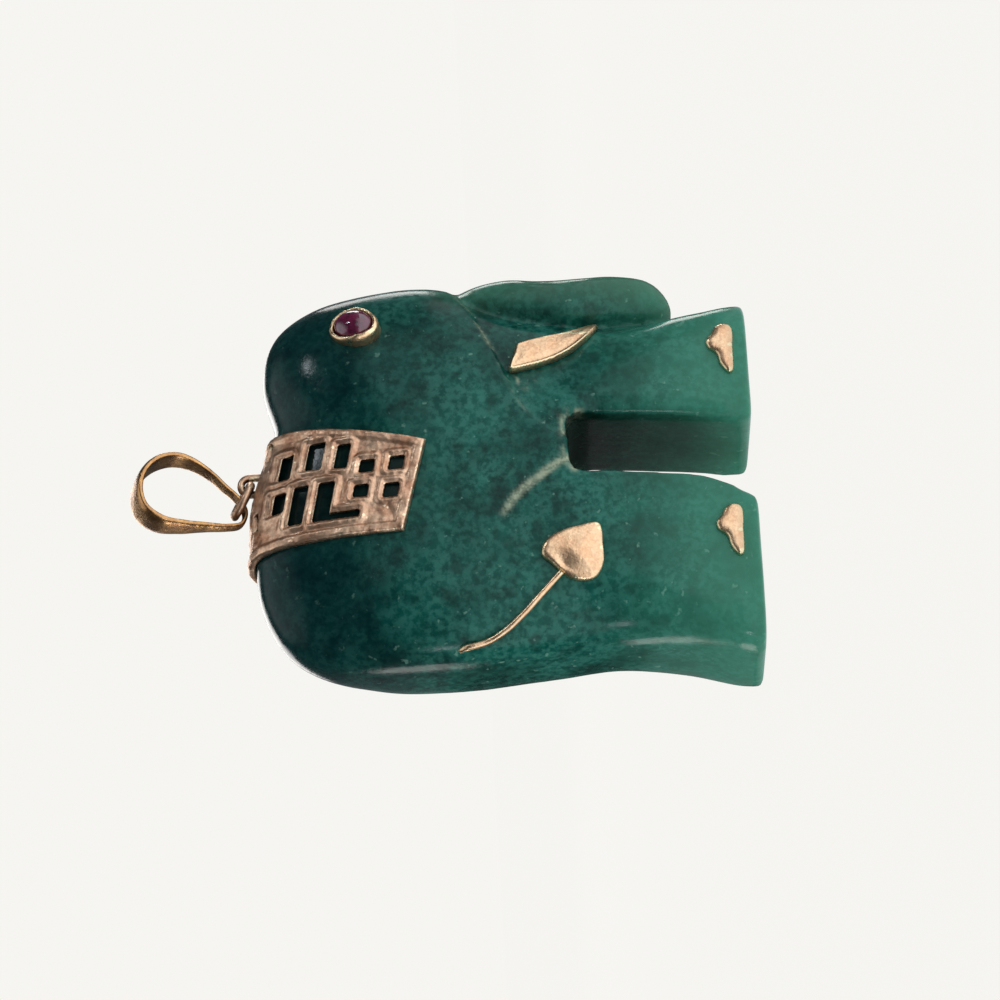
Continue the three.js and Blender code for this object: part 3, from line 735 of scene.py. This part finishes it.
def plate(name, outline, rise, wall, step=0.09, side=-1):
    """rise(points, distance to the outline) is the shape of the face above the wall height."""
    outline = np.asarray(outline)
    low, high = outline.min(0), outline.max(0)
    gx, gz = np.meshgrid(np.arange(low[0], high[0], step), np.arange(low[1], high[1], step * 0.87))
    gx[::2] += step / 2
    grid = np.stack([gx.ravel(), gz.ravel()], axis=1)
    grid = grid[inside(grid, outline)]
    d, _ = to_line(grid, outline, closed=True)
    grid = grid[d > step * 0.45]
    count = len(outline)
    every = np.vstack([outline, grid])
    border = [(i, (i + 1) % count) for i in range(count)]
    flat_points, _, tris, *_ = delaunay_2d_cdt([Vector(q) for q in every], border, [], 1, 1e-6)
    flat_points = np.array([tuple(q) for q in flat_points])
    d, _ = to_line(flat_points, outline, closed=True)
    d[:count] = 0
    seat_y = flank(flat_points[:, 0], flat_points[:, 1]) + GLUE
    face = seat_y + wall + rise(flat_points, d)
    n = len(flat_points)
    verts = np.vstack([np.stack([flat_points[:, 0], side * face, flat_points[:, 1]], 1),
                       np.stack([flat_points[:, 0], side * seat_y, flat_points[:, 1]], 1)])
    faces = [tuple(t) for t in tris] + [(c + n, b + n, a + n) for a, b, c in tris]
    faces += [(i, (i + 1) % count, n + (i + 1) % count, n + i) for i in range(count)]
    return mesh_object(name, verts, faces)


TUSK = spline([(6.6, 16.45), (7.15, 16.35), (7.7, 16.15), (8.25, 16.0), (8.75, 15.85), (8.95, 15.5), (9.15, 15.0),
               (9.5, 13.9), (9.85, 12.7), (10.3, 11.5), (10.8, 10.45), (10.8, 10.15), (10.55, 10.1), (9.2, 10.9),
               (7.95, 12.2), (7.15, 13.7), (6.65, 15.4), (6.5, 16.2)], 120)
TASSEL = spline([(-9.0, 13.35), (-9.35, 12.4), (-9.2, 11.4), (-8.3, 10.8), (-6.9, 10.75), (-5.4, 10.95),
                 (-5.5, 12.4), (-6.0, 14.0), (-6.7, 14.8), (-7.45, 14.95), (-8.1, 14.3)], 100)
TOENAIL = spline([(-1.7, -.75), (-1.85, -.5), (-1.2, .05), (-.35, .3), (.1, .85), (.65, .95), (1.15, .55),
                  (1.65, .3), (1.9, -.2), (1.7, -.8), (0, -.85)], 90)


def tusk_rise(q, d):
    """A filed bevel all round, a gently crowned face, and an uneven lip along the lower edge."""
    lip = np.exp(-((d - 0.16) / 0.1) ** 2) * smooth(-(q[:, 0] - 8.7) - 0.35 * (q[:, 1] - 13.3), -0.2, 0.4)
    uneven = 0.10 + 0.04 * ripple(np.c_[q, d], 0.3, 1.9)
    return 0.30 * smooth(d, 0, 0.18) ** 0.8 + 0.05 * smooth(d, 0.2, 1.0) + uneven * lip


def tassel_rise(q, d):
    """A rounded rim, a face that falls toward the tip, and a dimple where the wire ends."""
    soft = np.sqrt(np.clip(1 - (1 - np.clip(d / 0.5, 0, 1)) ** 2, 0, 1))
    crown = smooth(d, 0.3, 1.7)
    dent = np.exp(-((q[:, 0] + 8.2) ** 2 + (q[:, 1] - 13.6) ** 2) / 0.5)
    tilt = 0.05 * (q[:, 1] - 12.6)
    return (0.26 + tilt) * soft + 0.14 * crown - 0.12 * dent * smooth(d, 0.1, 0.5)


def nail_rise(q, d):
    soft = np.sqrt(np.clip(1 - (1 - np.clip(d / 0.55, 0, 1)) ** 2, 0, 1))
    return 0.26 * soft


for side, word in ((-1, "right"), (1, "left")):
    piece = plate("tusk_" + word, TUSK, tusk_rise, 0.32, side=side, step=0.07)
    place(piece, "pendant", rose_gold, "tusk_" + word)
    for leg, at in (("fore", (7.45, 1.9)), ("hind", (-6.3, 2.05))):
        piece = plate(f"toenail_{leg}_{word}", TOENAIL + at, nail_rise, 0.17, side=side)
        place(piece, "pendant", rose_gold, f"toenail_{leg}_{word}")
piece = plate("tail_tassel", TASSEL, tassel_rise, 0.16)
place(piece, "pendant", rose_gold, "tail_tassel")

# %% [markdown]
# ## Wires
# The tail, the ring and the staple are all drawn wire, bent to a path. A wire is the simplest thing that follows a
# path, so Geometry Nodes make it: a curve is swept with a round section whose radius can swell or taper along the
# way. The tree has named inputs, and each wire sets them by the socket's identifier.


# %% Wire tree
def tree_inputs(made, **sockets):
    for label, (kind, value) in sockets.items():
        socket = made.interface.new_socket(label, in_out="INPUT", socket_type=kind)
        if value is not None:
            socket.default_value = value
    made.interface.new_socket("Geometry", in_out="OUTPUT", socket_type="NodeSocketGeometry")
    return made.nodes.new("NodeGroupInput").outputs, made.nodes.new("NodeGroupOutput").inputs


wire_tree = bpy.data.node_groups.new("drawn_wire", "GeometryNodeTree")
put, out = tree_inputs(wire_tree, Geometry=("NodeSocketGeometry", None), Radius=("NodeSocketFloat", 0.0002),
                       Sides=("NodeSocketInt", 20), Taper=("NodeSocketFloat", 0.0), Ripple=("NodeSocketFloat", 0.0),
                       Finish=("NodeSocketMaterial", None))
along = node(wire_tree, "GeometryNodeSplineParameter").outputs["Factor"]
thin = maths(wire_tree, "SUBTRACT", 1.0, maths(wire_tree, "MULTIPLY", put["Taper"], along))
wave = node(wire_tree, "ShaderNodeTexNoise", {"Scale": 900.0, "Detail": 1.0}).outputs["Fac"]
swell = maths(wire_tree, "MULTIPLY_ADD", maths(wire_tree, "SUBTRACT", wave, 0.5), put["Ripple"], 1.0)
radius = node(wire_tree, "GeometryNodeSetCurveRadius", {"Curve": put["Geometry"],
                                                        "Radius": maths(wire_tree, "MULTIPLY", thin, swell)})
section = node(wire_tree, "GeometryNodeCurvePrimitiveCircle", {"Resolution": put["Sides"], "Radius": put["Radius"]})
scale = node(wire_tree, "GeometryNodeInputRadius").outputs[0]
swept = node(wire_tree, "GeometryNodeCurveToMesh", {"Curve": radius.outputs[0], "Profile Curve": section.outputs[0],
                                                    "Fill Caps": True, "Scale": scale})
real = node(wire_tree, "GeometryNodeRealizeInstances", {0: swept.outputs[0]})
shaded = node(wire_tree, "GeometryNodeSetShadeSmooth", {0: real.outputs[0]})
final = node(wire_tree, "GeometryNodeSetMaterial", {"Geometry": shaded.outputs[0], "Material": put["Finish"]})
wire_tree.links.new(final.outputs[0], out[0])


def curve_object(name, path, closed):
    data = bpy.data.curves.new(name, "CURVE")
    data.dimensions = "3D"
    line = data.splines.new("POLY")
    line.points.add(len(path) - 1)
    line.points.foreach_set("co", np.c_[np.asarray(path) * MM, np.ones(len(path))].astype(np.float32).ravel())
    line.use_cyclic_u = closed
    made = bpy.data.objects.new(name, data)
    scene.collection.objects.link(made)
    return made


def swept_by(name, guide, made_tree, finish, **values):
    """Runs a tree on a curve or mesh and returns the result as a plain mesh object."""
    modifier = guide.modifiers.new("tree", "NODES")
    modifier.node_group = made_tree
    values["Finish"] = finish
    for item in made_tree.interface.items_tree:
        if item.item_type == "SOCKET" and item.in_out == "INPUT" and item.name in values:
            modifier[item.identifier] = values[item.name]
    bpy.context.view_layer.update()
    graph = bpy.context.evaluated_depsgraph_get()
    mesh = bpy.data.meshes.new_from_object(guide.evaluated_get(graph))
    bpy.data.objects.remove(guide)
    bm = bmesh.new()
    bm.from_mesh(mesh)
    bmesh.ops.remove_doubles(bm, verts=bm.verts, dist=1e-8)
    bmesh.ops.recalc_face_normals(bm, faces=bm.faces)
    if bm.calc_volume(signed=True) < 0:
        bmesh.ops.reverse_faces(bm, faces=bm.faces)
    bm.to_mesh(mesh)
    bm.free()
    mesh.shade_smooth()
    mesh.name = name
    made = bpy.data.objects.new(name, mesh)
    scene.collection.objects.link(made)
    return made


def wire(name, path, radius, finish, closed=False, taper=0.0, wavy=0.12):
    return swept_by(name, curve_object(name + "_path", path, closed), wire_tree, finish,
                    Radius=radius * MM, Sides=20, Taper=taper, Ripple=wavy)


# %% [markdown]
# ### Tail
# The tail leaves a drilled hole at the rump, lies down on the flank and ends under the heart-shaped tassel.

# %% Tail wire
TAIL_WIRE = 0.24
TAIL = [(-13.2, 20.3), (-12.95, 18.9), (-12.35, 17.6), (-11.4, 16.35), (-10.3, 15.2), (-9.2, 14.1), (-8.8, 13.65)]
over = [(x, -float(flank(x, z)) - TAIL_WIRE - 0.07, z) for x, z in TAIL]
over[-1] = (over[-1][0], over[-1][1] - 0.12, over[-1][2])
first = np.array(over[0])
path = spline([first + (0.25, 1.8, 0.5), first + (0.1, 0.7, 0.45), *over], 70, closed=False)
place(wire("tail_wire", path, TAIL_WIRE, rose_gold, taper=0.12), "pendant", rose_gold, "tail_wire")

# %% [markdown]
# ### Ring and staple
# The staple is a wire arch over the front of the ring. Its legs go down through the blanket into the stone and hold
# everything together. The ring lies inclined, its near side low, and is free to turn in the staple.

# %% Ring and staple
STAPLE = {"x": 1.1, "z": 34.55, "radius": 0.62, "wire": 0.26, "leg": 3.2}
RING = {"radius": 1.2, "wire": 0.3, "pitch": 27, "roll": 15}
ring_pose = (Matrix.Translation((STAPLE["x"], 0, STAPLE["z"])) @ Matrix.Rotation(math.radians(RING["pitch"]), 4, "Y")
             @ Matrix.Rotation(math.radians(RING["roll"]), 4, "X"))
turns = np.linspace(0, 2 * math.pi, 96, endpoint=False)
path = [ring_pose @ Vector((RING["radius"] * (math.cos(a) - 1), RING["radius"] * math.sin(a), 0)) for a in turns]
place(wire("jump_ring", path, RING["wire"], brown_gold, closed=True, wavy=0.10), "ring", brown_gold, "jump_ring")

arch = [(STAPLE["x"] + STAPLE["radius"] * math.cos(a), 0, STAPLE["z"] + STAPLE["radius"] * math.sin(a))
        for a in np.linspace(math.pi, 0, 25)]
foot = STAPLE["z"] - STAPLE["leg"]
legs = lambda x, way: [(x, 0, h) for h in np.linspace(foot, STAPLE["z"] - 0.15, 12)][::way]
path = legs(arch[0][0], 1) + arch + legs(arch[-1][0], -1)
place(wire("saddle_staple", path, STAPLE["wire"], brown_gold, wavy=0.12), "pendant", brown_gold, "saddle_staple")

# %% [markdown]
# ## Bail
# The bail is a strap that narrows to a hook round the ring, flat inside and rounded outside, and it leans toward
# the viewer, so the ceiling of its loop shows. A section that changes in both directions along the way is a rule
# rather than a single sweep, so the points are computed station by station.

# %% Strap
BAIL_PATH = [(0.05, -0.7), (-0.68, -0.36), (-0.92, 0.6), (-0.97, 1.95), (-1.05, 3.8), (-0.9, 5.4), (-0.12, 6.55),
             (1.2, 6.9), (2.65, 6.5), (3.65, 5.4), (3.98, 4.1), (3.72, 2.95), (2.95, 1.65), (2.05, 0.68), (1.4, -0.06),
             (0.78, -0.53)]
BAIL_THICK, BAIL_WIDE, BAIL_LEAN = (0.3, 0.48), (1.0, 2.8), 15
pin = ring_pose @ Vector((-2 * RING["radius"], 0, 0))
centre = spline(BAIL_PATH, 180)
tangent = np.roll(centre, -1, axis=0) - np.roll(centre, 1, axis=0)
tangent /= np.linalg.norm(tangent, axis=1)[:, None]
lean = Matrix.Rotation(math.radians(BAIL_LEAN), 3, "X")
PROFILE = 28
verts = []
for (cx, cz), (tx, tz) in zip(centre, tangent):
    grow = float(smooth(cz, 0, 6.8))
    wide = (BAIL_WIDE[0] + (BAIL_WIDE[1] - BAIL_WIDE[0]) * grow) / 2
    thick = BAIL_THICK[0] + (BAIL_THICK[1] - BAIL_THICK[0]) * grow
    for k in range(PROFILE):
        a = 2 * math.pi * k / PROFILE
        across = math.copysign(abs(math.cos(a)) ** 0.55, math.cos(a)) * wide
        rise = 0.5 * abs(math.sin(a)) ** (0.85 if math.sin(a) > 0 else 0.35)
        rise = rise * thick if math.sin(a) > 0 else -rise * thick
        q = lean @ Vector((cx - tz * rise, across, cz + tx * rise)) + pin
        verts.append(tuple(q))
n = len(centre)
at = lambda i, k: i % n * PROFILE + k % PROFILE
faces = [(at(i, k), at(i, k + 1), at(i + 1, k + 1), at(i + 1, k)) for i in range(n) for k in range(PROFILE)]
bail = mesh_object("bail", verts, faces)
q = points_of(bail)
move_points(bail, q + normals_of(bail) * (0.012 * ripple(q, 0.8, 4.4))[:, None])
place(bail, "bail", yellow_gold, "bail")

# %% [markdown]
# ## Blanket
# The blanket is one cast plate bent over the back: a raised border, flat bars, and windows that let the stone show
# dark; the stone beneath is darkened with painted shade and some dirt. It is built as a sheet that follows the
# carving, from the right hem over the ridge to the left hem. Its thickness changes with the distance to the border
# and to the windows; the windows are cut through, and a fine remesh gives every edge the softness of a casting.

# %% Windows
def pane(x0, x1, z0, z1):
    fall = lambda x: -0.22 * (x + 1.9)
    return [(x0, z0 + fall(x0)), (x1, z0 + fall(x1)), (x1, z1 + fall(x1)), (x0, z1 + fall(x0))]


corner_pane = pane(-3.9, -1.1, 28.8, 29.9)
corner_pane = [*corner_pane[1:], (-3.9, 26.7 + 0.44), (-3.4, 26.7 + 0.33), (-3.4, 28.8 + 0.33)]
PANES = [pane(-2.7, -1.3, 32.1, 32.9), pane(-0.3, 1.5, 32.1, 32.9), pane(-3.8, -1.1, 30.6, 31.6),
         pane(0.0, 2.0, 30.0, 31.1), corner_pane, pane(-0.2, 1.6, 28.2, 29.1), pane(-2.5, -1.6, 26.4, 27.4),
         pane(-0.7, 0.2, 26.3, 27.3), pane(-2.7, -1.7, 24.3, 25.3), pane(-0.7, 0.3, 24.3, 25.3)]

# %% Sheet
ACROSS, ALONG = ((90, 300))
back_line = torso.rim[torso.rim[:, 1] > 30]
back_line = back_line[np.argsort(back_line[:, 0])]
stations = np.linspace(-6, 5, 200)
top_z = np.interp(stations, *back_line.T)
top_of = lambda x: np.interp(x, stations, top_z)
sheet_points = np.empty((ACROSS, 2 * ALONG - 1, 3))
for i, u in enumerate(np.linspace(0, 1, ACROSS)):
    hem = np.array((-5.2, 24.1)) * (1 - u) + np.array((1.4, 22.3)) * u
    ridge = np.array((-5.3 * (1 - u) + 3.62 * u, 0.0))
    ridge[1] = top_of(ridge[0])
    w = 1 - np.linspace(1, 0, 600) ** 2.2
    px = hem[0] + (ridge[0] - hem[0]) * w + 0.22 * u * 4 * w * (1 - w)
    pz = hem[1] + (ridge[1] - hem[1]) * w
    pz = np.minimum(pz, top_of(px) - 1e-4)
    half = np.stack([px, -torso.depth(px, pz), pz], axis=1)
    half[-1, 1] = 0
    run = np.concatenate([[0], np.cumsum(np.linalg.norm(np.diff(half, axis=0), axis=1))])
    at = np.linspace(0, run[-1], ALONG)
    half = np.stack([np.interp(at, run, half[:, k]) for k in range(3)], axis=1)
    half[-1, 1] = 0
    sheet_points[i, :ALONG] = half
    sheet_points[i, ALONG:] = half[-2::-1] * (1, -1, 1)
du = np.gradient(sheet_points, axis=0)
dv = np.gradient(sheet_points, axis=1)
outward = np.cross(du, dv)
outward /= np.linalg.norm(outward, axis=2)[..., None] + 1e-12
if outward[ACROSS // 2, 20, 1] > 0:
    outward = -outward
flat = sheet_points.reshape(-1, 3)
arc = np.cumsum(np.linalg.norm(dv, axis=2), axis=1)
wide = np.cumsum(np.linalg.norm(du, axis=2), axis=0)
to_hem = np.minimum(arc - arc[:, :1], arc[:, -1:] - arc)
to_side = np.minimum(wide - wide[:1], wide[-1:] - wide)
to_border = np.minimum(to_hem, to_side).ravel()
seen_flat = flat[:, [0, 2]]
to_window = np.full(len(flat), 9.0)
for window in PANES:
    d, _ = to_line(seen_flat, window, closed=True)
    to_window = np.minimum(to_window, d)
border = smooth(to_border, 0.0, 0.12) * (1 - smooth(to_border, 0.55, 0.8))
bar = smooth(to_window, 0.02, 0.22) * (1 - smooth(to_window, 0.30, 0.62))
thick = 0.36 + 0.15 * border + 0.16 * bar * (1 - border) - 0.12 * (1 - smooth(to_border, 0, 0.14))
thick += 0.075 * ripple(flat, 0.8, 2.2) + 0.03 * ripple(flat, 0.35, 5.1)
normal = outward.reshape(-1, 3)
verts = np.vstack([flat + normal * (GLUE + thick)[:, None], flat + normal * GLUE])
cols = 2 * ALONG - 1
m = ACROSS * cols
grid = np.arange(m).reshape(ACROSS, cols)
quads = np.stack([grid[:-1, :-1], grid[1:, :-1], grid[1:, 1:], grid[:-1, 1:]], -1).reshape(-1, 4)
faces = [tuple(q) for q in quads] + [tuple(q[::-1] + m) for q in quads]
loop_ids = np.concatenate([grid[:-1, 0], grid[-1, :-1], grid[:0:-1, -1], grid[0, :0:-1]])
faces += [(a, b, b + m, a + m) for a, b in zip(loop_ids, np.roll(loop_ids, -1))]
saddle = mesh_object("pierced_blanket", verts, faces)

# %% Pierce and soften
cutters = [prism(f"window_{k}", window, -9, 9) for k, window in enumerate(PANES)]
for k, (cx, cy) in enumerate([(-2.6, -2.2), (-2.6, 2.2), (2.55, -2.2), (2.55, 2.2)]):
    square = [(cx - .65, 32), (cx + .65, 32), (cx + .65, 36), (cx - .65, 36)]
    cutters.append(prism(f"ridge_window_{k}", square, cy - .3, cy + .3))
subtract(saddle, *cutters)
remesh(saddle, 0.075)
place(saddle, "pendant", brown_gold, "saddle")

# %% [markdown]
# ## Eyes
# Each eye is a cup turned from sheet, let into the stone, with its thin rim pressed over a cabochon by hand, so the
# rim is a little uneven. Both are turned shapes, made by spinning a profile; the wobble of the rim is added as a
# slow wave round the circle.

# %% Turned pieces
EYE = {"x": 10.45, "z": 26.75, "turn": 27, "outer": 1.6, "wall": 0.28, "stone": 1.27}
OVAL = Matrix.Diagonal((0.9, 1.12, 1, 1))
look = math.radians(EYE["turn"])
axis = Vector((math.sin(look) * 0.72, -math.cos(look), math.sin(look) * 0.69)).normalized()
seat = Vector((EYE["x"], -float(torso.depth(EYE["x"], EYE["z"])), EYE["z"]))
outward_turn = Vector((0, 0, 1)).rotation_difference(axis).to_matrix().to_4x4()
eye_pose = Matrix.Translation(seat) @ outward_turn @ Matrix.Translation((0, 0, 0.25)) @ OVAL


def turned(name, profile, sides, pose, mirror, wobble=lambda a, r, h: (r, h)):
    rings = []
    for radius_, height_ in profile:
        ring = []
        for k in range(sides):
            a = 2 * math.pi * k / sides
            r_, h_ = wobble(a, radius_, height_)
            q = pose @ Vector((r_ * math.cos(a), r_ * math.sin(a), h_))
            ring.append((q.x, -q.y if mirror else q.y, q.z))
        rings.append(ring)
    verts = [q for ring in rings for q in ring]
    count = len(profile)
    faces = [(j * sides + k, j * sides + (k + 1) % sides, (j + 1) * sides + (k + 1) % sides, (j + 1) * sides + k)
             for j in range(count - 1) for k in range(sides)]
    return mesh_object(name, verts, faces)


def pressed(a, r, h):
    """The uneven hand-pressed rim: higher and wider in places."""
    share = max(0.0, min(1.0, (h + 0.2) / 0.6))
    wave = 0.06 * math.sin(2 * a + 0.6) + 0.035 * math.sin(5 * a + 1.9) + 0.02 * math.sin(11 * a)
    return r * (1 + 0.03 * share * math.sin(3 * a + 1.1)), h + wave * share


outer, wall, stone = EYE["outer"], EYE["wall"], EYE["stone"]
bore = outer - wall
CUP = [(0.0, -2.2), (0.2, -2.2), (0.38, -2.1), (0.4, -1.2), (0.45, -0.8), (outer - 0.2, -0.75), (outer - 0.1, -0.7),
       (outer - 0.06, -0.3), (outer, 0.0), (outer + 0.02, 0.25), (outer - 0.02, 0.42), (outer - 0.09, 0.52),
       (outer - 0.17, 0.55), (outer - 0.26, 0.50), (bore - 0.02, 0.38), (bore, 0.2), (bore, -0.40),
       (bore - 0.1, -0.44), (0.5, -0.45), (0.0, -0.45)]
DOME = [(0, -0.4), (0.6, -0.4), (stone - 0.06, -0.4), (stone, -0.34), (stone, 0.2)]
DOME += [(stone * math.cos(t) ** 0.8, 0.2 + 0.93 * math.sin(t)) for t in np.linspace(0.1, math.pi / 2 - 0.04, 14)]
DOME += [(0, 1.13)]
for mirror, word in ((False, "right"), (True, "left")):
    piece = turned("eye_bezel_" + word, CUP, 96, eye_pose, mirror, pressed)
    place(piece, "pendant", rose_gold, "eye_bezel_" + word)
    piece = turned("eye_stone_" + word, DOME, 72, eye_pose, mirror)
    place(piece, "pendant", ruby, "eye_stone_" + word)
